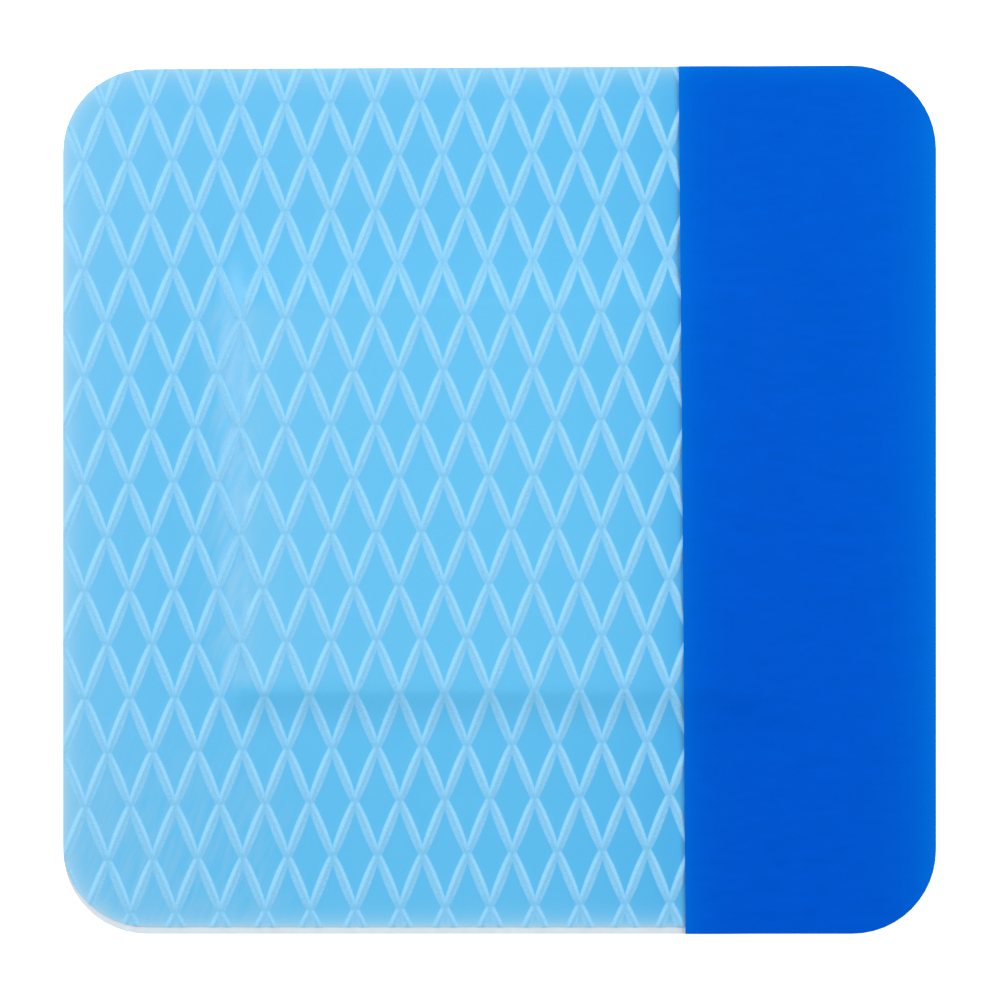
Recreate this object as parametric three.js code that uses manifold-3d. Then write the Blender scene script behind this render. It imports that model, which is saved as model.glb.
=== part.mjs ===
// Square adhesive plaster with an absorbent island pad. It lies on its backing, with its two release liners up:
// a light blue film embossed with diamonds, and a plain dark blue strip lapped over the edge of that film.
// Lengths are millimetres and angles are degrees. X runs across the sheet to the grip strip, Y runs up the
// sheet, and Z runs up from the table.

import * as THREE from 'three';
import Module from 'manifold-3d';

// Die cut outline, shared by the backing, the adhesive and the outer edges of both liners. It has its full length
// at the grip side, and its upper edge falls a little towards the free side.
const PLASTER_WIDTH = 100;
const PLASTER_LENGTH = 99.5;
const UPPER_EDGE_FALL = 0.5;
const CORNER_RADIUS = 9.6;
const CORNER_STEPS = 12;

// Carrier and adhesive
const BACKING_THICKNESS = 0.3;
const ADHESIVE_THICKNESS = 0.15;

// Absorbent pad, and how far the liners take to come down from it to the adhesive
const PAD_WIDTH = 57.6;
const PAD_LENGTH = 45;
const PAD_THICKNESS = 1;
const PAD_CORNER_RADIUS = 2.5;
const PAD_CORNER_STEPS = 2;
const PAD_CENTRE_Y = 0.5;
const SLOPE_RUN = 5;

// Embossed liner
const FILM_THICKNESS = 0.12;
const FILM_SHORTFALL = 0.8;
const LAP_UNDER_GRIP = 3;

// Raised ribs of the embossed liner: two families of straight lines that cross and leave diamonds between them.
// A lean is measured from Y towards X, a pitch is square to the lines, and an offset is from the plaster's centre.
const RISING_RIBS = { lean: 22.34, pitch: 4.723, offset: 2.55 };
const FALLING_RIBS = { lean: -23.04, pitch: 4.779, offset: -0.13 };
const RIB_WIDTH_AT_MIDDLE = 1.26;
const RIB_WIDTH_AT_CROSSING = 0.55;
const RIB_HEIGHT_AT_MIDDLE = 0.2;
const RIB_HEIGHT_AT_CROSSING = 0.08;

// Grip strip
const GRIP_WIDTH = 29.1;
const GRIP_SLANT = 0.45;
const GRIP_THICKNESS = 0.15;
const LAP_CLEARANCE = 0.05;
const LAP_STEP_RUN = 4;

// Working limits of the plan geometry: points fall on a fine grid, points this near a line lie on it, and points
// this near each other are one
const GRID = 1e-5;
const SNAP = 1e-4;
const MERGE = 5e-4;
const BEYOND = 3;
const BLOCK_DEPTH = FILM_THICKNESS + PAD_THICKNESS;

// Heights and lines that several pieces share
const HALF_WIDTH = PLASTER_WIDTH / 2;
const HALF_LENGTH = PLASTER_LENGTH / 2;
const ADHESIVE_TOP = BACKING_THICKNESS + ADHESIVE_THICKNESS;
const LAP_RISE = FILM_THICKNESS + Math.max(RIB_HEIGHT_AT_MIDDLE, RIB_HEIGHT_AT_CROSSING) + LAP_CLEARANCE;
const SEAM = leaningLine(-GRIP_SLANT, HALF_WIDTH - GRIP_WIDTH);
const FILM_EDGE = { ...SEAM, offset: SEAM.offset + LAP_UNDER_GRIP };
const STEP_TOP = { ...FILM_EDGE, offset: FILM_EDGE.offset + LAP_CLEARANCE };
const STEP_FOOT = { ...STEP_TOP, offset: STEP_TOP.offset + LAP_STEP_RUN };

const wasm = await Module();
wasm.setup();

// A straight line in plan that leans from Y towards X and stands off the centre by its offset, to the right
function leaningLine(lean, offset) {
  const angle = THREE.MathUtils.degToRad(lean);
  return { normal: new THREE.Vector2(Math.cos(angle), -Math.sin(angle)), offset };
}

// Signed distance of a plan point from a line, positive to the right of it
function distanceFrom(line, point) {
  return line.normal.x * point.x + line.normal.y * point.y - line.offset;
}

function onGrid(value) {
  return Math.round(value / GRID) * GRID;
}

// Outline with round corners, counterclockwise: an arc touches both sides of each corner
function roundedOutline(corners, radius, steps) {
  const points = [];
  corners.forEach((corner, index) => {
    const before = corners.at(index - 1).clone().sub(corner).normalize();
    const after = corners[(index + 1) % corners.length].clone().sub(corner).normalize();
    const halfAngle = before.angleTo(after) / 2;
    const toCentre = before.clone().add(after).setLength(radius / Math.sin(halfAngle));
    const centre = corner.clone().add(toCentre);
    const turn = Math.PI - 2 * halfAngle;
    const start = toCentre.angle() + Math.PI - turn / 2;
    for (let step = 0; step <= steps; step += 1) {
      const angle = start + (turn * step) / steps;
      points.push(new THREE.Vector2(
        onGrid(centre.x + radius * Math.cos(angle)),
        onGrid(centre.y + radius * Math.sin(angle)),
      ));
    }
  });
  return points;
}

// Outline of the whole sheet, or of a film that ends short of its lower edge
function dieCutOutline(shortfall = 0) {
  const corners = [
    new THREE.Vector2(-HALF_WIDTH, shortfall - HALF_LENGTH),
    new THREE.Vector2(HALF_WIDTH, shortfall - HALF_LENGTH),
    new THREE.Vector2(HALF_WIDTH, HALF_LENGTH),
    new THREE.Vector2(-HALF_WIDTH, HALF_LENGTH - UPPER_EDGE_FALL),
  ];
  return roundedOutline(corners, CORNER_RADIUS, CORNER_STEPS);
}

// Outline of the pad grown by a run, with as many points for every run
function padOutline(run = 0) {
  const x = PAD_WIDTH / 2 + run;
  const y = PAD_LENGTH / 2 + run;
  const corners = [
    new THREE.Vector2(-x, PAD_CENTRE_Y - y),
    new THREE.Vector2(x, PAD_CENTRE_Y - y),
    new THREE.Vector2(x, PAD_CENTRE_Y + y),
    new THREE.Vector2(-x, PAD_CENTRE_Y + y),
  ];
  return roundedOutline(corners, PAD_CORNER_RADIUS + run, PAD_CORNER_STEPS);
}

// Point on the straight stretch between two points, where the signed distance to a line is zero
function crossing(from, to, fromDistance, toDistance) {
  const share = fromDistance / (fromDistance - toDistance);
  return new THREE.Vector3(
    onGrid(from.x + share * (to.x - from.x)),
    onGrid(from.y + share * (to.y - from.y)),
    from.z + share * (to.z - from.z),
  );
}

// Part of a convex cell on one side of a line seen in plan: side 1 keeps the left, side -1 keeps the right
function keepSide(cell, line, side) {
  const distances = cell.map((point) => side * distanceFrom(line, point));
  if (distances.every((distance) => distance > -SNAP)) {
    return null;
  }
  const kept = [];
  cell.forEach((point, index) => {
    const nextIndex = (index + 1) % cell.length;
    const here = distances[index];
    const next = distances[nextIndex];
    if (here <= SNAP) {
      kept.push(point);
    }
    if (Math.max(here, next) > SNAP && Math.min(here, next) < -SNAP) {
      kept.push(crossing(point, cell[nextIndex], here, next));
    }
  });
  return kept.length > 2 ? kept : null;
}

function keepSideOfAll(cells, line, side) {
  return cells.map((cell) => keepSide(cell, line, side)).filter(Boolean);
}

function splitAll(cells, line) {
  return [...keepSideOfAll(cells, line, 1), ...keepSideOfAll(cells, line, -1)];
}

// Lines along the sides of a convex outline, with the outline to their left
function sidesOf(outline) {
  return outline.map((point, index) => {
    const next = outline[(index + 1) % outline.length];
    const normal = new THREE.Vector2(next.y - point.y, point.x - next.x).normalize();
    return { normal, offset: normal.x * point.x + normal.y * point.y };
  });
}

function keepInside(cells, outline) {
  return sidesOf(outline).reduce((kept, side) => keepSideOfAll(kept, side, 1), cells);
}

// The relief that the pad gives to what lies over it: a plateau on the pad, slopes down to the adhesive all
// round it, and the flat border outside them. Each facet is a convex cell whose points carry their height.
function padRelief() {
  const top = padOutline();
  const foot = padOutline(SLOPE_RUN);
  const raised = (point, height) => new THREE.Vector3(point.x, point.y, height);
  const far = foot.map((point) => point.clone().multiplyScalar(BEYOND));
  const facets = [top.map((point) => raised(point, PAD_THICKNESS))];
  top.forEach((topHere, index) => {
    const next = (index + 1) % top.length;
    const upper = raised(topHere, PAD_THICKNESS);
    const upperNext = raised(top[next], PAD_THICKNESS);
    const lower = raised(foot[index], 0);
    const lowerNext = raised(foot[next], 0);
    facets.push([upper, lower, lowerNext, upperNext]);
    facets.push([lower, raised(far[index], 0), raised(far[next], 0), lowerNext]);
  });
  return facets;
}

// Lays flat cells over the relief: each cell is cut along the facets, and each point gains the facet's height
function layOver(cells, facets) {
  return facets.flatMap((facet) => {
    const plane = new THREE.Plane().setFromCoplanarPoints(facet[0], facet[1], facet[2]);
    const heightAt = (point) => (
      -(plane.normal.x * point.x + plane.normal.y * point.y + plane.constant) / plane.normal.z
    );
    return keepInside(cells, facet).map((cell) => (
      cell.map((point) => new THREE.Vector3(point.x, point.y, point.z + heightAt(point)))
    ));
  });
}

// Finder of points by place in plan: it returns one number for all the points that lie within the merging reach
function pointFinder(points) {
  const numbers = new Map();
  const square = (value) => Math.round(value / MERGE);
  return (point) => {
    const column = square(point.x);
    const row = square(point.y);
    for (let x = column - 1; x <= column + 1; x += 1) {
      for (let y = row - 1; y <= row + 1; y += 1) {
        const found = numbers.get(`${x} ${y}`);
        if (found !== undefined && Math.hypot(points[found].x - point.x, points[found].y - point.y) < MERGE) {
          return found;
        }
      }
    }
    numbers.set(`${column} ${row}`, points.length);
    return points.push(point) - 1;
  };
}

// Closed body between a surface made of convex cells and an underside that is worked out point by point
function bodyUnder(cells, undersideOf) {
  const upper = [];
  const find = pointFinder(upper);
  const triangles = cells.flatMap((cell) => {
    const ids = cell.map(find).filter((id, index, all) => id !== all.at(index - 1));
    return ids.slice(2).map((id, index) => [ids[0], ids[index + 1], id]);
  });

  const edges = new Set();
  triangles.forEach(([a, b, c]) => {
    edges.add(`${a} ${b}`).add(`${b} ${c}`).add(`${c} ${a}`);
  });
  const count = upper.length;
  const faces = triangles.flatMap(([a, b, c]) => [a, b, c, c + count, b + count, a + count]);
  edges.forEach((edge) => {
    const [a, b] = edge.split(' ').map(Number);
    if (!edges.has(`${b} ${a}`)) {
      faces.push(a + count, b + count, b, a + count, b, a);
    }
  });

  const lower = upper.map((point) => new THREE.Vector3(point.x, point.y, undersideOf(point)));
  const positions = [...upper, ...lower].flatMap((point) => point.toArray());
  return new wasm.Manifold(new wasm.Mesh({
    numProp: 3,
    vertProperties: new Float32Array(positions),
    triVerts: new Uint32Array(faces),
  }));
}

function geometryOf(body) {
  const mesh = body.getMesh();
  const geometry = new THREE.BufferGeometry();
  geometry.setAttribute('position', new THREE.BufferAttribute(mesh.vertProperties, 3));
  geometry.setIndex(new THREE.BufferAttribute(mesh.triVerts, 1));
  return geometry;
}

function flatSlab(outline, thickness) {
  return new THREE.ExtrudeGeometry(new THREE.Shape(outline), { depth: thickness, bevelEnabled: false });
}

function fromOutline(outline) {
  return [outline.map((point) => new THREE.Vector3(point.x, point.y, 0))];
}

// Ribs and panels of the embossed film, flat, over the whole of an outline. A place is counted in rib pitches
// along both families, so a whole number lies on a rib. The ribs of one family are widest and highest halfway
// between the ribs of the other, and each diamond has four corners, four rib middles and one flat panel.
function diamondCells(outline) {
  const rising = { ...RISING_RIBS, ...leaningLine(RISING_RIBS.lean, RISING_RIBS.offset) };
  const falling = { ...FALLING_RIBS, ...leaningLine(FALLING_RIBS.lean, FALLING_RIBS.offset) };
  const cross = rising.normal.cross(falling.normal);
  const place = (u, v, height = 0) => {
    const r = rising.offset + u * rising.pitch;
    const f = falling.offset + v * falling.pitch;
    return new THREE.Vector3(
      onGrid((r * falling.normal.y - f * rising.normal.y) / cross),
      onGrid((f * rising.normal.x - r * falling.normal.x) / cross),
      height,
    );
  };
  const range = (family) => {
    const counts = outline.map((point) => distanceFrom(family, point) / family.pitch);
    return [Math.floor(Math.min(...counts)), Math.ceil(Math.max(...counts))];
  };
  const [firstU, lastU] = range(rising);
  const [firstV, lastV] = range(falling);
  const cells = [];
  for (let u = firstU; u < lastU; u += 1) {
    for (let v = firstV; v < lastV; v += 1) {
      cells.push(...diamond(u, v, place, rising.pitch, falling.pitch));
    }
  }
  return keepInside(cells, outline);
}

// One diamond, from its left corner at whole counts u and v: the inner half of each of its ribs, and its panel
function diamond(u, v, place, risingPitch, fallingPitch) {
  const corners = [[0, 0], [1, 0], [1, 1], [0, 1]];
  const inward = (share, reach) => share + (1 - 2 * share) * reach;
  const nodes = corners.map(([du, dv]) => place(u + du, v + dv, RIB_HEIGHT_AT_CROSSING));
  const panelCorners = corners.map(([du, dv]) => place(
    u + inward(du, RIB_WIDTH_AT_CROSSING / 2 / risingPitch),
    v + inward(dv, RIB_WIDTH_AT_CROSSING / 2 / fallingPitch),
  ));
  const following = (index) => (index + 1) % corners.length;
  const middles = corners.map(([du, dv], index) => {
    const [nextDu, nextDv] = corners[following(index)];
    return place(u + (du + nextDu) / 2, v + (dv + nextDv) / 2, RIB_HEIGHT_AT_MIDDLE);
  });
  const feet = corners.map(([du, dv], index) => (
    du === corners[following(index)][0]
      ? place(u + inward(du, RIB_WIDTH_AT_MIDDLE / 2 / risingPitch), v + 0.5)
      : place(u + 0.5, v + inward(dv, RIB_WIDTH_AT_MIDDLE / 2 / fallingPitch))
  ));
  const ribsAndCorners = corners.flatMap((corner, index) => {
    const next = following(index);
    return [
      [nodes[index], middles[index], panelCorners[index]],
      [middles[index], feet[index], panelCorners[index]],
      [middles[index], nodes[next], panelCorners[next]],
      [middles[index], panelCorners[next], feet[index]],
      [feet[index], panelCorners[next], feet[next]],
    ];
  });
  return [feet, ...ribsAndCorners];
}

// The film is a block under the embossed surface, less a wider block one film thickness lower, so its underside
// follows the pad's relief without the ribs
function embossedLinerGeometry(relief) {
  const [outline] = fromOutline(dieCutOutline(FILM_SHORTFALL));
  const filmCell = keepSide(outline, FILM_EDGE, 1);
  const around = outline.map((point) => point.clone().multiplyScalar(BEYOND / 2));
  const block = bodyUnder(layOver(diamondCells(filmCell), relief), () => -BLOCK_DEPTH);
  const space = bodyUnder(layOver([around], relief), () => -2 * BLOCK_DEPTH).translate(0, 0, -FILM_THICKNESS);
  return geometryOf(block.subtract(space)).translate(0, 0, FILM_THICKNESS);
}

// The grip strip lies on the lapped edge of the film, steps down beside it, and then follows the pad's relief
function gripLinerGeometry(relief) {
  const [outline] = fromOutline(dieCutOutline());
  const stripCell = keepSide(outline, SEAM, -1);
  const cells = splitAll(splitAll(layOver([stripCell], relief), STEP_TOP), STEP_FOOT);
  const riseAt = (point) => (
    LAP_RISE * THREE.MathUtils.clamp(-distanceFrom(STEP_FOOT, point) / LAP_STEP_RUN, 0, 1)
  );
  const topCells = cells.map((cell) => cell.map((point) => (
    new THREE.Vector3(point.x, point.y, point.z + riseAt(point) + GRIP_THICKNESS)
  )));
  return geometryOf(bodyUnder(topCells, (point) => point.z - GRIP_THICKNESS));
}

function piece(name, geometry, z, color, roughness) {
  const material = new THREE.MeshStandardMaterial({ color, roughness, metalness: 0 });
  const mesh = new THREE.Mesh(geometry, material);
  mesh.name = name;
  mesh.position.z = z;
  return mesh;
}

const relief = padRelief();
const extent = new THREE.Box2().setFromPoints(dieCutOutline());
const plaster = new THREE.Group();
plaster.position.y = onGrid(-extent.getCenter(new THREE.Vector2()).y);
plaster.add(piece('backing', flatSlab(dieCutOutline(), BACKING_THICKNESS), 0, 0xeff2f4, 0.85));
plaster.add(piece(
  'adhesive_layer',
  flatSlab(dieCutOutline(), ADHESIVE_THICKNESS),
  BACKING_THICKNESS,
  0xd8e2ea,
  0.4,
));
plaster.add(piece('wound_pad', flatSlab(padOutline(), PAD_THICKNESS), ADHESIVE_TOP, 0xfafaf7, 0.95));
plaster.add(piece('embossed_liner', embossedLinerGeometry(relief), ADHESIVE_TOP, 0x6cc3f1, 0.4));
plaster.add(piece('grip_liner', gripLinerGeometry(relief), ADHESIVE_TOP, 0x005ad7, 0.5));

export default plaster;
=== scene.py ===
"""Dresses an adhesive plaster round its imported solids, and lights it from above.

The plaster lies on its backing with its liners up. The embossed film, the grip strip and the pad get finer pieces
of their own, and the backing and the adhesive keep their solids and get better materials. Lengths are metres.
"""

import math

import bmesh
import bpy
import numpy as np
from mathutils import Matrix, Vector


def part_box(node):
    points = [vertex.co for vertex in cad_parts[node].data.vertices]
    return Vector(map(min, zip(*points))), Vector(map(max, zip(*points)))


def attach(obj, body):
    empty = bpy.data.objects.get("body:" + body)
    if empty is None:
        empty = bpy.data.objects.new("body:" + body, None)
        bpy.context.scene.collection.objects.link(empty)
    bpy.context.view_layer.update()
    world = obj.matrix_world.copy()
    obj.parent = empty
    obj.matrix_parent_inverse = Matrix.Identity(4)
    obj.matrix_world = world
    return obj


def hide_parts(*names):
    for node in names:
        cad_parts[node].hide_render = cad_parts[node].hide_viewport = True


bl_info = {
    "name": "Adhesive Plaster",
    "version": (1, 0, 0),
    "blender": (4, 5, 0),
    "location": "3D View > Sidebar > Plaster",
    "description": "Dresses the layers of an island plaster with its release liners on",
    "category": "Add Mesh",
}

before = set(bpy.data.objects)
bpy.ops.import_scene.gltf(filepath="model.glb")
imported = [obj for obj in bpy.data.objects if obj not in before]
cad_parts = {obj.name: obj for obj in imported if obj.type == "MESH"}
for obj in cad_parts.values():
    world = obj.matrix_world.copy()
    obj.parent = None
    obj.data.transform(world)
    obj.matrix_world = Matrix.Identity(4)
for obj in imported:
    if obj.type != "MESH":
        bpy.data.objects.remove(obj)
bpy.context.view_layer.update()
BODY = "root"
MM = 0.001

BACKING_LOW, BACKING_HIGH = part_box("backing")
ADHESIVE_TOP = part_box("adhesive_layer")[1].z
PAD_LOW, PAD_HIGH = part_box("wound_pad")


# ---- Sizes and colours ---------------------------------------------------------------------------------------


def length(name, description, default):
    """A length property, in metres."""
    return bpy.props.FloatProperty(
        name=name, description=description, default=default, unit="LENGTH", subtype="DISTANCE", precision=5
    )


def angle(name, description, degrees):
    """An angle property, given in degrees."""
    return bpy.props.FloatProperty(
        name=name, description=description, default=math.radians(degrees), unit="ROTATION", subtype="ANGLE"
    )


def share(name, description, default):
    """A property from 0 to 1."""
    return bpy.props.FloatProperty(
        name=name, description=description, default=default, min=0, max=1, subtype="FACTOR"
    )


def colour(name, description, default):
    """A linear colour property."""
    return bpy.props.FloatVectorProperty(
        name=name, description=description, default=default, size=3, min=0, max=1, subtype="COLOR"
    )


class PlasterSheetSettings(bpy.types.PropertyGroup):
    """Die cut outline that all the layers share, and the finish of the two lower ones."""

    width: length("Width", "Width of the plaster", BACKING_HIGH.x - BACKING_LOW.x)
    length: length("Length", "Length at the grip side, before the corners are rounded", 99.5 * MM)
    upper_fall: length("Upper edge fall", "How much lower the upper edge is at the free side", 0.5 * MM)
    corner_radius: length("Corner radius", "Radius of the rounded corners", 9.6 * MM)
    backing_colour: colour("Backing colour", "White of the non-woven carrier", (0.83, 0.85, 0.86))
    adhesive_colour: colour("Adhesive colour", "Milky tone of the adhesive coat", (0.69, 0.77, 0.83))


class PlasterPadSettings(bpy.types.PropertyGroup):
    """Absorbent pad and the relief that it gives to the liners."""

    run: length("Run", "How far the film takes to come down from the pad at its sides and lower end", 5 * MM)
    upper_run: length("Upper run", "How far the film takes to come down at the upper end", 8 * MM)
    corner_radius: length("Corner radius", "Radius of the pad's corners", 2.5 * MM)
    edge_press: share("Edge press", "Share of its thickness that the pad loses at its pressed edge", 0.3)
    colour: colour("Fleece colour", "White of the absorbent fleece", (0.87, 0.87, 0.85))


class PlasterFilmSettings(bpy.types.PropertyGroup):
    """Embossed release film."""

    thickness: length("Thickness", "Thickness of the film", 0.12 * MM)
    shortfall: length("Shortfall", "How far above the plaster's lower edge the film ends", 0.8 * MM)
    lap: length("Lap", "How far the film reaches under the grip strip", 3 * MM)
    rising_lean: angle("Rising lean", "Lean of the rising ribs from upright", 22.34)
    rising_pitch: length("Rising pitch", "Distance between rising ribs, square to them", 4.723 * MM)
    rising_offset: length("Rising offset", "Distance of one rising rib from the centre", 2.55 * MM)
    falling_lean: angle("Falling lean", "Lean of the falling ribs from upright", -23.04)
    falling_pitch: length("Falling pitch", "Distance between falling ribs, square to them", 4.779 * MM)
    falling_offset: length("Falling offset", "Distance of one falling rib from the centre", -0.13 * MM)
    rib_width: length("Rib width", "Width of a rib halfway between two crossings", 1.26 * MM)
    crossing_width: length("Crossing width", "Width of a rib where it crosses another", 0.72 * MM)
    rib_height: length("Rib height", "Height of a rib halfway between two crossings", 0.2 * MM)
    crossing_height: length("Crossing height", "Height of a rib where it crosses another", 0.08 * MM)
    colour: colour("Panel colour", "Light blue of the smooth diamonds over the pad", (0.108, 0.54, 0.9))
    border_colour: colour("Border colour", "Light blue of the diamonds round the pad", (0.093, 0.515, 0.88))
    # The ribs' paleness is partly their frosted finish and partly painted sheen.
    rib_colour: colour("Rib colour", "Paler blue of the frosted ribs", (0.275, 0.67, 0.98))


class PlasterStripSettings(bpy.types.PropertyGroup):
    """Plain grip strip that laps over the film."""

    width: length("Width", "Width of the strip at mid length", 29.1 * MM)
    slant: angle("Slant", "Slant of the seam from upright", -0.45)
    thickness: length("Thickness", "Thickness of the strip", 0.15 * MM)
    clearance: length("Clearance", "Room between the film's ribs and the strip", 0.05 * MM)
    step_run: length("Step run", "Width of the smooth fall beside the film's edge", 6 * MM)
    stiffness: bpy.props.FloatProperty(
        name="Stiffness", description="Run that the strip takes to come down, over the film's", default=1.5
    )
    colour: colour("Strip colour", "Dark blue of the strip", (0.0, 0.095, 0.655))


class PlasterStageSettings(bpy.types.PropertyGroup):
    """Camera, lamps and floor."""

    view_width: length("View width", "Width of the picture in the plaster's plane", 114.54 * MM)
    focal_length: bpy.props.FloatProperty(
        name="Focal length", description="Focal length of the camera lens", default=200, unit="CAMERA"
    )
    left_power: bpy.props.FloatProperty(
        name="Left lamp", description="Power of the soft lamp on the upper left", default=1.49, unit="POWER"
    )
    right_power: bpy.props.FloatProperty(
        name="Right lamp", description="Power of the soft lamp on the upper right", default=1.39, unit="POWER"
    )
    room_light: share("Room light", "Strength of the light from all round", 0.43)


# ---- Shapes --------------------------------------------------------------------------------------------------

CORNER_STEPS = 12
RIB_STEPS = 8
PANEL_STEPS = 6
CROSSING_BLEND = 4
LENS_POWER = 0.75
# Centre and width, across a rib, of the painted shade along its crest.
RISING_CREST_SHADE = 0.04, 0.24
FALLING_CREST_SHADE = 0.08, 0.22
# Reach of the painted shade round each crossing.
CROSSING_SHADE_REACH = 0.55 * MM
WRINKLE_LEAN = -22
DRAPE_SHIFT = 0.2 * MM
DRAPE_X = -31 * MM
DRAPE_REACH = 5 * MM
DRAPE_LENGTH = 21 * MM
EDGE_PRESS = 0.3, 1.2 * MM
FALL_POWER = 0.6
FILM_CLOUD = (0.17, 0.57, 0.88, 1)
# Deep blue of the painted shade beside the grip strip and towards the right.
FILM_PAINTED_SHADE = (0.06, 0.45, 0.84, 1)
FILM_RIM = (0.45, 0.72, 0.88, 1)
# Pale blue of the painted sheen on the film's left side and at the pad's left edge.
FILM_PAINTED_SHEEN = (0.42, 0.7, 0.9, 1)
# Pale grey of the painted glints on the film's wrinkles.
FILM_WRINKLE_GLINT = (0.42, 0.61, 0.76, 1)
# Darker blue of the painted shade along the rib crests and at their crossings.
FILM_CREST_SHADE = (0.2, 0.53, 0.8, 1)
RIM_FADE = 0.33
# Lighter blue of the painted light on the grip strip.
STRIP_PAINTED_LIGHT = (0.0, 0.2, 0.78, 1)


def smooth_step(values):
    """0 up to 0 and 1 from 1 on, with the curve 3 t squared minus 2 t cubed between them."""
    t = np.clip(values, 0, 1)
    return t * t * (3 - 2 * t)


def unit(vectors):
    """The vectors scaled to length 1."""
    return vectors / np.linalg.norm(vectors, axis=-1, keepdims=True)


def rounded_outline(corners, radius, steps):
    """Outline with an arc in each corner, counterclockwise.

    The arc's centre lies on the corner's bisector, at the radius over the sine of half the corner's angle, and the
    arc turns by 180 degrees less that angle.
    """
    before = unit(np.roll(corners, 1, axis=0) - corners)
    after = unit(np.roll(corners, -1, axis=0) - corners)
    half_angle = np.arccos(np.clip((before * after).sum(1), -1, 1)) / 2
    to_centre = unit(before + after) * (radius / np.sin(half_angle))[:, None]
    turn = np.pi - 2 * half_angle
    start = np.arctan2(to_centre[:, 1], to_centre[:, 0]) + np.pi - turn / 2
    angles = start[:, None] + turn[:, None] * np.linspace(0, 1, steps + 1)
    arcs = np.stack([np.cos(angles), np.sin(angles)], axis=-1) * radius
    return ((corners + to_centre)[:, None] + arcs).reshape(-1, 2)


def sheet_outline(sheet, shortfall=0.0):
    """Die cut outline: a rectangle whose upper edge falls towards the free side, with rounded corners."""
    half = sheet.width / 2
    low, high = BACKING_LOW.y + shortfall, BACKING_LOW.y + sheet.length
    corners = np.array([[-half, low], [half, low], [half, high], [-half, high - sheet.upper_fall]])
    return rounded_outline(corners, sheet.corner_radius, CORNER_STEPS)


def leaning_line(lean, offset):
    """A plan line as its normal, which points right, and its distance from the centre along that normal."""
    return np.array([math.cos(lean), -math.sin(lean)]), offset


def outline_sides(outline):
    """Lines along the sides of an outline, with normals that point out of it."""
    run = unit(np.roll(outline, -1, axis=0) - outline)
    normals = np.stack([run[:, 1], -run[:, 0]], axis=-1)
    return normals, (normals * outline).sum(1)


def plan_distance(line, x, y):
    """Signed distance of plan points from a line, positive to its right. The part's centre is the sheet's."""
    normal, offset = line
    return normal[0] * x + normal[1] * (y - sheet_middle_y()) - offset


def sheet_middle_y():
    """Height in the row frame of the middle of the sheet's full length."""
    return BACKING_LOW.y + bpy.context.scene.plaster_sheet.length / 2


def pad_relief(pad, x, y, stiffness=1.0):
    """Height that the pad gives to what lies over it.

    It is the pad's thickness over the pad. Beyond it, it falls by a smooth step of the distance's share of
    the run to the power of 0.6, so it is steepest near the pad and runs out slowly. In the corners the two
    shares add up as the sides of a right angle do.
    """
    below = (PAD_LOW.y - y) / pad.run
    above = (y - PAD_HIGH.y) / pad.upper_run
    beside = (np.abs(x) - PAD_HIGH.x) / pad.run
    beyond = np.maximum(below, above)
    share = np.hypot(np.clip(beside, 0, None), np.clip(beyond, 0, None)) / stiffness
    return (PAD_HIGH.z - PAD_LOW.z) * (1 - smooth_step(share**FALL_POWER))


def beyond_pad(x, y):
    """Signed distance from the pad's outline, positive outside it."""
    middle_y = (PAD_LOW.y + PAD_HIGH.y) / 2
    return np.maximum(np.abs(x) - PAD_HIGH.x, np.abs(y - middle_y) - (PAD_HIGH.y - middle_y))


def rib_lines(first, last):
    """Grid lines that follow one family of ribs, from one whole count of ribs to another.

    Each line has the count of its rib, its place across that rib from -1 to 1, and its share of the panel beyond.
    """
    across = np.concatenate([np.linspace(-1, 1, RIB_STEPS + 1), np.ones(PANEL_STEPS - 1)])
    panel = np.concatenate([np.zeros(RIB_STEPS + 1), np.linspace(0, 1, PANEL_STEPS + 1)[1:-1]])
    counts = np.arange(first, last)
    return np.repeat(counts, len(across)), np.tile(across, len(counts)), np.tile(panel, len(counts))


def lens(lines, half_share):
    """How far along from a crossing each grid line lies: 0 on a crossing rib and 1 halfway to the next one.

    It is 4 f (1 - f) to the power of three quarters, where f is the fraction of the pitch.
    """
    count, across, panel = lines
    fraction = (across * half_share + panel * (1 - 2 * half_share)) % 1
    return (4 * fraction * (1 - fraction)) ** LENS_POWER


def rib_profile(across):
    """Rounded roof across a rib: half of one plus the cosine, which is 1 on the crest and 0 at both feet."""
    return 0.5 * (1 + np.cos(np.pi * np.clip(across, -1, 1)))


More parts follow.
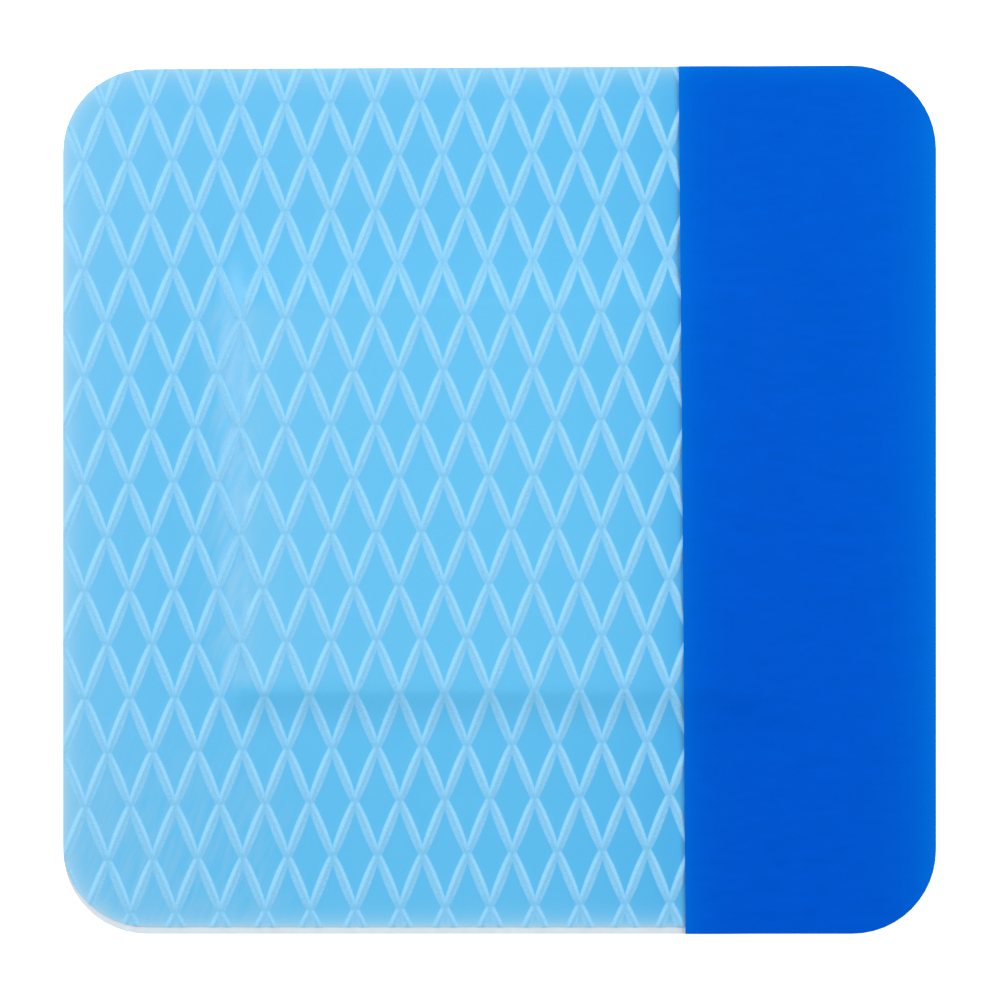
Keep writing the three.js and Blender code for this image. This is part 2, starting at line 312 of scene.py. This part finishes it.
def embossed_surface(film):
    """Upper face of the flat embossed film: plan places, rib heights and how much of a rib each point is.

    A point is counted in rib pitches along both families. Ribs are lens shaped: their width and height grow from
    each crossing to halfway along the next diamond, and the grid lines draw apart with them. The heights of the
    two families are joined by the root of the sum of their fourth powers.
    """
    rising = leaning_line(film.rising_lean, film.rising_offset)
    falling = leaning_line(film.falling_lean, film.falling_offset)
    reach_r, reach_f = (
        math.ceil(np.abs(sheet_corner_reach() @ line[0]).max() / pitch) + 1
        for line, pitch in ((rising, film.rising_pitch), (falling, film.falling_pitch))
    )
    lines_r, lines_f = rib_lines(-reach_r, reach_r), rib_lines(-reach_f, reach_f)
    mean_half = (film.rib_width + film.crossing_width) / 4

    def spread(own, other, own_pitch, other_pitch, crest):
        """Counts, heights, rib share and painted crest shade of one family over the whole grid."""
        along = lens(other, mean_half / other_pitch)
        half = (film.crossing_width + (film.rib_width - film.crossing_width) * along) / 2 / own_pitch
        height = film.crossing_height + (film.rib_height - film.crossing_height) * along
        count, across, panel = (values[:, None] for values in own)
        profile = rib_profile(across)
        inside = (np.abs(across) < 1) & (panel == 0)
        return (
            count + across * half + panel * (1 - 2 * half),
            np.where(inside, profile * height, 0),
            np.where(inside, smooth_step((1 - np.abs(across)) / 0.3), 0) * (0.5 + 0.5 * along),
            np.where(inside, np.exp(-(((across - crest[0]) / crest[1]) ** 2)), 0),
        )

    pitches = film.rising_pitch, film.falling_pitch
    u, height_r, mask_r, crest_r = spread(lines_r, lines_f, *pitches, RISING_CREST_SHADE)
    v, height_f, mask_f, crest_f = (
        values.T for values in spread(lines_f, lines_r, *pitches[::-1], FALLING_CREST_SHADE)
    )
    r = film.rising_offset + u * film.rising_pitch
    f = film.falling_offset + v * film.falling_pitch
    (rx, ry), (fx, fy) = rising[0], falling[0]
    cross = rx * fy - ry * fx
    x = (r * fy - f * ry) / cross
    y = (f * rx - r * fx) / cross + sheet_middle_y()
    height = (height_r**CROSSING_BLEND + height_f**CROSSING_BLEND) ** (1 / CROSSING_BLEND)
    off_u, off_v = (u - np.round(u)) * pitches[0], (v - np.round(v)) * pitches[1]
    from_crossing = np.hypot(off_u, off_v)
    crossing = np.exp(-((from_crossing / CROSSING_SHADE_REACH) ** 2))
    rib = np.maximum(mask_r, mask_f)
    # Painted shade: a dark line along each rib's crest, and a dark spot where the ribs dip at a crossing.
    crest = np.maximum(np.maximum(crest_r, crest_f) * (1 - crossing), 0.9 * crossing * rib)
    return x, y, height, rib, crest


def sheet_corner_reach():
    """Corners of the sheet from its middle, which bound the ribs that it needs."""
    sheet = bpy.context.scene.plaster_sheet
    return np.array([[-1, -1], [1, -1], [1, 1], [-1, 1]]) * [sheet.width / 2, sheet.length / 2]


def drape_shift(x, y):
    """Sideways shift of the ribs where the film bends over the pad's free side.

    It is a bell across, which fades at its ends.
    """
    bell = np.exp(-(((x - DRAPE_X) / DRAPE_REACH) ** 2))
    return -DRAPE_SHIFT * bell * smooth_step((DRAPE_LENGTH - np.abs(y)) / DRAPE_REACH)


def seam_line(strip):
    """Left edge of the grip strip."""
    return leaning_line(strip.slant, bpy.context.scene.plaster_sheet.width / 2 - strip.width)


def sheet_mesh(name, x, y, z, values, sides):
    """Mesh of a grid of points with float values on them, cut along upright planes.

    Quads that lie wholly outside one plane are left out first, and bmesh then cuts what the planes cross.
    """
    points = np.stack(np.broadcast_arrays(x, y, z), axis=-1)
    rows, columns = points.shape[:2]
    index = np.arange(rows * columns).reshape(rows, columns)
    quads = np.stack([index[:-1, :-1], index[1:, :-1], index[1:, 1:], index[:-1, 1:]], axis=-1).reshape(-1, 4)
    points = points.reshape(-1, 3)
    first = points[quads]
    area = np.cross(first[:, 1] - first[:, 0], first[:, 3] - first[:, 0])[:, 2]
    if area.sum() < 0:
        quads = quads[:, ::-1]
    normals, offsets = sides
    outside = points[:, :2] @ normals.T - offsets > 0
    quads = quads[~outside[quads].all(axis=1).any(axis=1)]
    used, quads = np.unique(quads, return_inverse=True)
    mesh = bpy.data.meshes.new(name)
    mesh.from_pydata(points[used], [], quads.reshape(-1, 4))
    for key, grid in values.items():
        layer = mesh.attributes.new(key, "FLOAT", "POINT")
        flat = np.broadcast_to(grid, (rows, columns)).ravel()[used]
        layer.data.foreach_set("value", flat.astype(np.float32))
    surface = bmesh.new()
    surface.from_mesh(mesh)
    for normal, offset in zip(normals, offsets):
        bmesh.ops.bisect_plane(
            surface,
            geom=surface.verts[:] + surface.edges[:] + surface.faces[:],
            dist=1e-7,
            plane_co=(normal[0] * offset, normal[1] * offset, 0),
            plane_no=(normal[0], normal[1], 0),
            clear_outer=True,
        )
    bmesh.ops.dissolve_degenerate(surface, edges=surface.edges[:], dist=1e-7)
    surface.to_mesh(mesh)
    surface.free()
    return mesh


def solid_piece(name, mesh, thickness):
    """Object from an open sheet: it gets its thickness below its upper face, and keeps crisp cut edges."""
    piece = bpy.data.objects.new(name, mesh)
    bpy.context.scene.collection.objects.link(piece)
    wall = piece.modifiers.new("thickness", "SOLIDIFY")
    wall.thickness = thickness
    wall.offset = -1
    graph = bpy.context.evaluated_depsgraph_get()
    piece.data = bpy.data.meshes.new_from_object(
        piece.evaluated_get(graph), preserve_all_data_layers=True, depsgraph=graph
    )
    piece.modifiers.clear()
    piece.data.name = name
    piece.data.polygons.foreach_set("use_smooth", np.ones(len(piece.data.polygons), bool))
    piece.data.set_sharp_from_angle(angle=math.radians(50))
    bpy.data.meshes.remove(mesh)
    return piece


def closed_rings(name, rings):
    """Closed mesh through rings of points, from the first ring round to the last, with a middle point in both."""
    count, around = rings.shape[:2]
    index = np.arange(count * around).reshape(count, around)
    following = np.roll(index, -1, axis=1)
    quads = np.stack([index[:-1], following[:-1], following[1:], index[1:]], axis=-1).reshape(-1, 4)
    low, high = count * around, count * around + 1
    caps = [(low, after, here) for here, after in zip(index[0], following[0])]
    caps += [(high, here, after) for here, after in zip(index[-1], following[-1])]
    points = np.concatenate([rings.reshape(-1, 3), [rings[0].mean(0), rings[-1].mean(0)]])
    mesh = bpy.data.meshes.new(name)
    mesh.from_pydata(points, [], quads.tolist() + caps)
    mesh.polygons.foreach_set("use_smooth", np.ones(len(mesh.polygons), bool))
    return mesh


# ---- Materials -----------------------------------------------------------------------------------------------


def add_node(tree, kind, inputs=None, **settings):
    """A shader node with its settings, and its inputs set to values or linked to sockets."""
    node = tree.nodes.new("ShaderNode" + kind)
    for key, value in settings.items():
        setattr(node, key, value)
    for key, value in (inputs or {}).items():
        if isinstance(value, bpy.types.NodeSocket):
            tree.links.new(value, node.inputs[key])
        else:
            node.inputs[key].default_value = value
    return node


def new_surface(name):
    """A material with one Principled shader on it."""
    material = bpy.data.materials.new(name)
    material.use_nodes = True
    tree = material.node_tree
    tree.nodes.clear()
    shader = add_node(tree, "BsdfPrincipled")
    add_node(tree, "OutputMaterial", {"Surface": shader.outputs["BSDF"]})
    return material, tree, shader


def place_on_object(tree, stretch=(1, 1, 1), turn=0.0):
    """Object coordinates, stretched and turned about Z."""
    where = add_node(tree, "TexCoord").outputs["Object"]
    mapping = add_node(tree, "Mapping", {"Vector": where, "Scale": stretch, "Rotation": (0, 0, turn)})
    return mapping.outputs["Vector"]


def along_slant(tree, turn, stretch):
    """Object coordinates that draw what is laid on them out along a line turned about Z from upright."""
    where = add_node(tree, "TexCoord").outputs["Object"]
    rotation = (0, 0, turn)
    mapping = add_node(
        tree, "Mapping", {"Vector": where, "Scale": (1, stretch, 1), "Rotation": rotation}, vector_type="TEXTURE"
    )
    return mapping.outputs["Vector"]


def noise(tree, vector, scale, detail=2.0, roughness=0.5):
    """Noise from 0 to 1 over a vector, with its scale per metre."""
    node = add_node(
        tree, "TexNoise", {"Vector": vector, "Scale": scale, "Detail": detail, "Roughness": roughness}
    )
    return node.outputs["Fac"]


def ranged(tree, value, from_low, from_high, to_low, to_high):
    """The value carried from one range to another and held inside it."""
    node = add_node(
        tree,
        "MapRange",
        {"Value": value, "From Min": from_low, "From Max": from_high, "To Min": to_low, "To Max": to_high},
    )
    return node.outputs["Result"]


def combined(tree, operation, first, second):
    """Two values put together by a math operation."""
    node = add_node(tree, "Math", operation=operation)
    for socket, value in zip(node.inputs, (first, second)):
        if isinstance(value, bpy.types.NodeSocket):
            tree.links.new(value, socket)
        else:
            socket.default_value = value
    return node.outputs["Value"]


def mixed(tree, factor, first, second, blend="MIX"):
    """Two colours mixed by a factor."""
    node = tree.nodes.new("ShaderNodeMix")
    node.data_type, node.blend_type = "RGBA", blend
    for socket, value in ((node.inputs[0], factor), (node.inputs[6], first), (node.inputs[7], second)):
        if isinstance(value, bpy.types.NodeSocket):
            tree.links.new(value, socket)
        else:
            socket.default_value = value
    return node.outputs[2]


def opaque(values):
    """A colour with full alpha."""
    return (*values, 1.0)


def bump(tree, shader, height, strength, distance):
    """Bump under a shader from a height, with its depth in metres."""
    node = add_node(tree, "Bump", {"Height": height, "Strength": strength, "Distance": distance})
    tree.links.new(node.outputs["Normal"], shader.inputs["Normal"])


def attribute(tree, name):
    """A float value that a piece carries on its points."""
    return add_node(tree, "Attribute", attribute_name=name).outputs["Fac"]


def film_material(film):
    """Silky light blue film. Its ribs are paler, partly from their frosted finish and partly from painted sheen.
    Painted shade darkens it beside the grip strip and towards the right and lower right, painted sheen lightens
    its left side and the pad's left edge, painted glints streak its wrinkles, and painted shade runs along the rib
    crests.
    """
    material, tree, shader = new_surface("light_blue_film")
    where = place_on_object(tree)
    rib, crest = attribute(tree, "rib"), attribute(tree, "crest")
    painted_light, depth = attribute(tree, "painted_light"), attribute(tree, "depth")
    frost = noise(tree, where, 3400, 3, 0.7)
    cloud = noise(tree, where, 240, 3)
    rib_share = combined(tree, "MULTIPLY", rib, ranged(tree, frost, 0.3, 0.7, 0.72, 1.15))
    over_pad = ranged(tree, attribute(tree, "pad_gap"), -0.2 * MM, 0.5 * MM, 1, 0)
    base = mixed(tree, over_pad, opaque(film.border_colour), opaque(film.colour))
    base = mixed(tree, ranged(tree, cloud, 0.3, 0.7, 0, 0.1), base, FILM_CLOUD)
    # Painted shade: the depth attribute darkens the film beside the grip strip and towards the right and lower
    # right.
    base = mixed(tree, depth, base, FILM_PAINTED_SHADE)
    edge_gap = combined(tree, "MULTIPLY", attribute(tree, "edge_gap"), 1 / MM)
    edge_haze = combined(tree, "POWER", RIM_FADE, edge_gap)
    base = mixed(tree, combined(tree, "MULTIPLY", edge_haze, 0.7), base, FILM_RIM)
    # Painted sheen: the film is made paler towards its left side, at the pad's left edge and towards the top left.
    base = mixed(tree, painted_light, base, FILM_PAINTED_SHEEN)
    # Painted glints: pale streaks along the film's wrinkles on the pad's left slope and in the lower left corner.
    streaks = noise(tree, along_slant(tree, math.radians(WRINKLE_LEAN), 6.7), 1500, 2)
    glint_streak = ranged(tree, streaks, 0.35, 0.65, 0.1, 1.9)
    wrinkle_glint = combined(tree, "MULTIPLY", attribute(tree, "wrinkle_glint"), glint_streak)
    base = mixed(tree, wrinkle_glint, base, FILM_WRINKLE_GLINT)
    # Ribs paler, partly from their frosted finish and partly from painted sheen.
    base = mixed(tree, rib_share, base, opaque(film.rib_colour))
    # Painted shade along the rib crests and at their crossings.
    base = mixed(tree, combined(tree, "MULTIPLY", crest, 0.8), base, FILM_CREST_SHADE)
    beads = noise(tree, where, 5600, 2, 0.7)
    grain = ranged(tree, beads, 0.3, 0.7, -1, 1)
    grain_depth = ranged(tree, rib, 0, 1, 0.025, 0.09)
    level = combined(tree, "ADD", combined(tree, "MULTIPLY", grain, grain_depth), 1)
    base = mixed(tree, 1, base, level, "MULTIPLY")
    tree.links.new(base, shader.inputs["Base Color"])
    tree.links.new(ranged(tree, rib_share, 0, 1, 0.32, 0.42), shader.inputs["Roughness"])
    bump(tree, shader, combined(tree, "MULTIPLY", frost, rib), 0.6, 0.04 * MM)
    return material


def strip_material(strip):
    """Plain satin film, with faint streaks along the way that it was drawn, and painted light that makes it
    lighter towards its top, its seam edge, its right side and its upper edge.
    """
    material, tree, shader = new_surface("dark_blue_film")
    streaks = noise(tree, place_on_object(tree, (0.35, 1, 1)), 900, 4, 0.6)
    tone = ranged(tree, streaks, 0.3, 0.7, 0, 1)
    deep, bright = (tuple(c * k for c in strip.colour) for k in (0.96, 1.04))
    base = mixed(tree, tone, opaque(deep), opaque(bright))
    # Painted light: the strip is made lighter towards its top, its seam edge, its right side and its upper edge.
    base = mixed(tree, attribute(tree, "painted_light"), base, STRIP_PAINTED_LIGHT)
    grain = ranged(tree, noise(tree, place_on_object(tree), 6000, 2, 0.7), 0.3, 0.7, 0.97, 1.03)
    base = mixed(tree, 1, base, grain, "MULTIPLY")
    tree.links.new(base, shader.inputs["Base Color"])
    tree.links.new(ranged(tree, streaks, 0.3, 0.7, 0.42, 0.5), shader.inputs["Roughness"])
    shader.inputs["Specular IOR Level"].default_value = 0.01
    bump(tree, shader, streaks, 0.15, 0.02 * MM)
    return material


def adhesive_material(sheet):
    """Milky tacky coat with a soft shine."""
    material, tree, shader = new_surface("adhesive")
    cloud = noise(tree, place_on_object(tree), 700, 4)
    tone = ranged(tree, cloud, 0.3, 0.7, 0, 1)
    pale = tuple(min(1, c * 1.08) for c in sheet.adhesive_colour)
    base = mixed(tree, tone, opaque(sheet.adhesive_colour), opaque(pale))
    tree.links.new(base, shader.inputs["Base Color"])
    shader.inputs["Roughness"].default_value = 0.3
    bump(tree, shader, cloud, 0.4, 0.05 * MM)
    return material


def fleece_material(name, base_colour, fibre_scale, depth):
    """Matt non-woven fibres that lie in all directions, as two crossed layers of stretched noise."""
    material, tree, shader = new_surface(name)
    one_way = noise(tree, place_on_object(tree, (1, 0.12, 1), 0.6), fibre_scale, 4, 0.6)
    other_way = noise(tree, place_on_object(tree, (0.12, 1, 1), 0.4), fibre_scale, 4, 0.6)
    fibres = combined(tree, "MAXIMUM", one_way, other_way)
    tone = ranged(tree, fibres, 0.4, 0.75, 0, 1)
    shade = tuple(c * 0.88 for c in base_colour)
    tree.links.new(mixed(tree, tone, opaque(shade), opaque(base_colour)), shader.inputs["Base Color"])
    shader.inputs["Roughness"].default_value = 0.9
    shader.inputs["Sheen Weight"].default_value = 0.15
    bump(tree, shader, fibres, 0.6, depth)
    return material


def dress(piece, node):
    """The piece rides on the part and stands for its solid, which it hides."""
    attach(piece, BODY)
    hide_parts(node)


def repaint(node, material):
    """A better material on a solid that keeps its shape."""
    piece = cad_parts[node]
    piece.data.materials.clear()
    piece.data.materials.append(material)


# ---- Operators -----------------------------------------------------------------------------------------------


class PLASTER_OT_layers(bpy.types.Operator):
    """Give the backing and the adhesive their materials"""

    bl_idname = "plaster.layers"
    bl_label = "Backing and Adhesive"

    def execute(self, context):
        sheet = context.scene.plaster_sheet
        repaint("backing", fleece_material("backing_film", sheet.backing_colour, 2600, 0.06 * MM))
        repaint("adhesive_layer", adhesive_material(sheet))
        return {"FINISHED"}


class PLASTER_OT_pad(bpy.types.Operator):
    """Make the absorbent pad"""

    bl_idname = "plaster.pad"
    bl_label = "Wound Pad"

    def execute(self, context):
        pad = context.scene.plaster_pad
        low, high = PAD_LOW, PAD_HIGH
        corners = np.array([[low.x, low.y], [high.x, low.y], [high.x, high.y], [low.x, high.y]])
        outline = rounded_outline(corners, pad.corner_radius, 8)
        around = np.concatenate([outline, outline[:1]])
        run = np.concatenate([[0], np.cumsum(np.linalg.norm(np.diff(around, axis=0), axis=1))])
        even = np.linspace(0, run[-1], 241)[:-1]
        path = np.stack([np.interp(even, run, around[:, axis]) for axis in (0, 1)], axis=-1)
        middle = corners.mean(0)
        inner = np.linspace(0.04, 0.97, 22)
        scale = np.concatenate([inner, [0.99, 1, 1, 0.994, 0.985], inner[::-1]])
        edge = 1 - pad.edge_press
        level = np.concatenate([inner * 0, [0, 0.12, 0.45, edge * 0.8, edge], np.ones(len(inner))])
        plan = middle + (path - middle) * scale[:, None, None]
        crown = np.where(level == 1, 1 - pad.edge_press * smooth_step((scale - 0.85) / 0.13), level)
        waves = 0.5 + 0.25 * (np.sin(plan[..., 0] / 0.0031) + np.sin(plan[..., 1] / 0.0026 + 1.3))
        depth = np.where(level == 1, 0.04, 0)[:, None] * waves
        z = low.z + (high.z - low.z) * (crown[:, None] - depth)
        mesh = closed_rings("pad_fleece", np.concatenate([plan, z[..., None]], axis=-1))
        piece = bpy.data.objects.new("pad_fleece", mesh)
        context.scene.collection.objects.link(piece)
        mesh.materials.append(fleece_material("pad_fleece", pad.colour, 1800, 0.1 * MM))
        dress(piece, "wound_pad")
        return {"FINISHED"}


class PLASTER_OT_film(bpy.types.Operator):
    """Make the embossed release film"""

    bl_idname = "plaster.film"
    bl_label = "Embossed Film"

    def execute(self, context):
        scene = context.scene
        sheet, film = scene.plaster_sheet, scene.plaster_film
        strip, pad = scene.plaster_strip, scene.plaster_pad
        x, y, height, rib, crest = embossed_surface(film)
        x = x + drape_shift(x, y)
        normals, offsets = outline_sides(sheet_outline(sheet, film.shortfall))
        to_edge = (offsets - np.stack([x, y], axis=-1) @ normals.T).min(axis=-1)
        pressed, press_reach = EDGE_PRESS
        height = height * (pressed + (1 - pressed) * smooth_step(to_edge / press_reach))
        z = ADHESIVE_TOP + film.thickness + pad_relief(pad, x, y) + height
        seam = seam_line(strip)
        edge = seam[1] + film.lap + seam[0][1] * sheet_middle_y()
        sides = np.concatenate([normals, [seam[0]]]), np.concatenate([offsets, [edge]])
        to_seam = -plan_distance(seam, x, y)
        from_left = x + sheet.width / 2
        beside_pad = smooth_step((y - PAD_LOW.y) / (2 * MM)) * smooth_step((PAD_HIGH.y - y) / (2 * MM))
        slope = np.exp(-(((x - DRAPE_X) / (2.8 * MM)) ** 2)) * beside_pad
        # Where the painted sheen at the pad's left edge falls, fading over the pad.
        pad_edge_light = np.exp(-np.abs(x - PAD_LOW.x) / (8 * MM)) * beside_pad
        pad_edge_light = pad_edge_light * smooth_step((x - PAD_LOW.x) / MM + 1)
        low_right = smooth_step((x + 10 * MM) / (40 * MM)) * smooth_step((-18 * MM - y) / (12 * MM))
        top_left = smooth_step((y - 15 * MM) / (25 * MM)) * smooth_step((10 * MM - x) / (30 * MM))
        right = smooth_step(x / (22 * MM))
        low_left = smooth_step((-20 * MM - x) / (10 * MM)) * smooth_step((-20 * MM - y) / (20 * MM))
        values = {
            "rib": rib,
            "crest": crest,
            "edge_gap": to_edge,
            "pad_gap": beyond_pad(x, y),
            # Painted sheen on the left side, at the pad's left edge and towards the top left.
            "painted_light": 0.19 * np.exp(-from_left / (8 * MM)) + 0.14 * pad_edge_light + 0.05 * top_left,
            # Painted glints on the wrinkles of the pad's left slope and the lower left corner.
            "wrinkle_glint": 0.15 * slope + 0.1 * low_left,
            # Painted shade beside the grip strip's edge, towards the right and towards the lower right.
            "depth": 0.85 * np.exp(-to_seam / (3.5 * MM)) + 0.22 * right + 0.4 * low_right,
        }
        mesh = sheet_mesh("embossed_film", x, y, z, values, sides)
        piece = solid_piece("embossed_film", mesh, film.thickness)
        piece.data.materials.append(film_material(film))
        dress(piece, "embossed_liner")
        return {"FINISHED"}


class PLASTER_OT_strip(bpy.types.Operator):
    """Make the grip strip"""

    bl_idname = "plaster.strip"
    bl_label = "Grip Strip"

    def execute(self, context):
        scene = context.scene
        sheet, film = scene.plaster_sheet, scene.plaster_film
        strip, pad = scene.plaster_strip, scene.plaster_pad
        seam = seam_line(strip)
        half = sheet.width / 2
        lap_end = film.lap + strip.clearance
        across = np.concatenate([
            np.linspace(0, lap_end, 7),
            np.linspace(lap_end, lap_end + strip.step_run, 9)[1:],
            np.linspace(lap_end + strip.step_run, strip.width + 1 * MM, 60)[1:],
        ])[:, None]
        y = np.linspace(BACKING_LOW.y - 1 * MM, BACKING_HIGH.y + 1 * MM, 201)[None, :]
        normal, offset = seam
        x = (across + offset - normal[1] * (y - sheet_middle_y())) / normal[0]
        rise = film.thickness + film.rib_height + strip.clearance
        lifted = rise * (1 - smooth_step((across - lap_end) / strip.step_run))
        z = ADHESIVE_TOP + strip.thickness + pad_relief(pad, x, y, strip.stiffness) + lifted
        normals, offsets = outline_sides(sheet_outline(sheet))
        from_side = np.clip(half - x, 0, None)
        from_top = np.clip(BACKING_HIGH.y - y, 0, None)
        # Painted light on the strip: lighter towards the top, along the seam edge, along the right side and along
        # the upper edge.
        painted_light = 0.12 * smooth_step((y - BACKING_LOW.y) / sheet.length) + 0.45 * np.exp(-across / (1.7 * MM))
        painted_light = painted_light + 0.68 * np.exp(-from_side / (2.4 * MM)) + 0.5 * np.exp(-from_top / (0.95 * MM))
        mesh = sheet_mesh("grip_strip", x, y + 0 * x, z, {"painted_light": painted_light}, (normals, offsets))
        piece = solid_piece("grip_strip", mesh, strip.thickness)
        piece.data.materials.append(strip_material(strip))
        dress(piece, "grip_liner")
        return {"FINISHED"}


class PLASTER_OT_stage(bpy.types.Operator):
    """Set up the camera, the lamps, the floor and the white surroundings"""

    bl_idname = "plaster.stage"
    bl_label = "Stage"

    def execute(self, context):
        scene, stage = context.scene, context.scene.plaster_stage
        scene.view_settings.view_transform = "Standard"
        lens_data = bpy.data.cameras.new("camera")
        lens_data.lens = stage.focal_length
        camera = bpy.data.objects.new("camera", lens_data)
        distance = stage.view_width * lens_data.lens / lens_data.sensor_width
        camera.location = (0.052 * MM, -0.039 * MM, distance + 0.6 * MM)
        scene.collection.objects.link(camera)
        scene.camera = camera
        self.add_lamp(scene, "left", (-0.36, 0.17, 0.43), stage.left_power)
        self.add_lamp(scene, "right", (0.36, 0.17, 0.43), stage.right_power)
        self.add_floor(scene)
        self.add_world(scene, stage.room_light)
        return {"FINISHED"}

    def add_lamp(self, scene, name, place, power):
        """A square soft lamp that faces the plaster."""
        data = bpy.data.lights.new(name, "AREA")
        data.energy, data.size = power, 0.38
        lamp = bpy.data.objects.new(name, data)
        lamp.location = place
        lamp.rotation_mode = "QUATERNION"
        lamp.rotation_quaternion = lamp.location.to_track_quat("Z", "Y")
        scene.collection.objects.link(lamp)

    def add_floor(self, scene):
        """A wide pale floor that the camera sees as white, with the plaster's shadow on it."""
        half = 1.5
        mesh = bpy.data.meshes.new("floor")
        corners = [(-half, -half, 0), (half, -half, 0), (half, half, 0), (-half, half, 0)]
        mesh.from_pydata(corners, [], [(0, 1, 2, 3)])
        floor = bpy.data.objects.new("floor", mesh)
        material = bpy.data.materials.new("floor")
        material.use_nodes = True
        tree = material.node_tree
        tree.nodes.clear()
        white = (1, 1, 1, 1)
        matt = add_node(tree, "BsdfDiffuse", {"Color": (0.9, 0.9, 0.9, 1)})
        seen = combined(tree, "MULTIPLY", self.seen_rays(tree), 0.7)
        glow = add_node(tree, "Emission", {"Color": white, "Strength": seen})
        both = add_node(tree, "AddShader")
        tree.links.new(matt.outputs[0], both.inputs[0])
        tree.links.new(glow.outputs[0], both.inputs[1])
        add_node(tree, "OutputMaterial", {"Surface": both.outputs[0]})
        mesh.materials.append(material)
        scene.collection.objects.link(floor)

    def add_world(self, scene, strength):
        """Even light from all round, which the camera and reflections see as white."""
        world = bpy.data.worlds.new("surroundings")
        world.use_nodes = True
        tree = world.node_tree
        tree.nodes.clear()
        level = ranged(tree, self.seen_rays(tree), 0, 1, strength, 1)
        background = add_node(tree, "Background", {"Color": (1, 1, 1, 1), "Strength": level})
        add_node(tree, "OutputWorld", {"Surface": background.outputs[0]})
        scene.world = world

    def seen_rays(self, tree):
        """1 for rays from the camera and for reflected and transmitted ones."""
        path = add_node(tree, "LightPath").outputs
        glossy = combined(tree, "MAXIMUM", path["Is Camera Ray"], path["Is Glossy Ray"])
        return combined(tree, "MAXIMUM", glossy, path["Is Transmission Ray"])


class PLASTER_PT_panel(bpy.types.Panel):
    """Lists the settings and the steps"""

    bl_idname = "PLASTER_PT_panel"
    bl_label = "Plaster"
    bl_space_type = "VIEW_3D"
    bl_region_type = "UI"
    bl_category = "Plaster"

    def draw(self, context):
        for operator in OPERATORS:
            self.layout.operator(operator.bl_idname)
        for key in SETTINGS:
            box = self.layout.box()
            group = getattr(context.scene, key)
            for name in group.__annotations__:
                box.prop(group, name)


SETTINGS = {
    "plaster_sheet": PlasterSheetSettings,
    "plaster_pad": PlasterPadSettings,
    "plaster_film": PlasterFilmSettings,
    "plaster_strip": PlasterStripSettings,
    "plaster_stage": PlasterStageSettings,
}
OPERATORS = (PLASTER_OT_stage, PLASTER_OT_layers, PLASTER_OT_pad, PLASTER_OT_film, PLASTER_OT_strip)


def register():
    for group in SETTINGS.values():
        bpy.utils.register_class(group)
    for operator in (*OPERATORS, PLASTER_PT_panel):
        bpy.utils.register_class(operator)
    for key, group in SETTINGS.items():
        setattr(bpy.types.Scene, key, bpy.props.PointerProperty(type=group))


def unregister():
    for key in SETTINGS:
        delattr(bpy.types.Scene, key)
    for known in reversed((*SETTINGS.values(), *OPERATORS, PLASTER_PT_panel)):
        bpy.utils.unregister_class(known)


def main():
    register()
    bpy.ops.plaster.stage()
    bpy.ops.plaster.layers()
    bpy.ops.plaster.pad()
    bpy.ops.plaster.film()
    bpy.ops.plaster.strip()


if __name__ == "__main__":
    main()
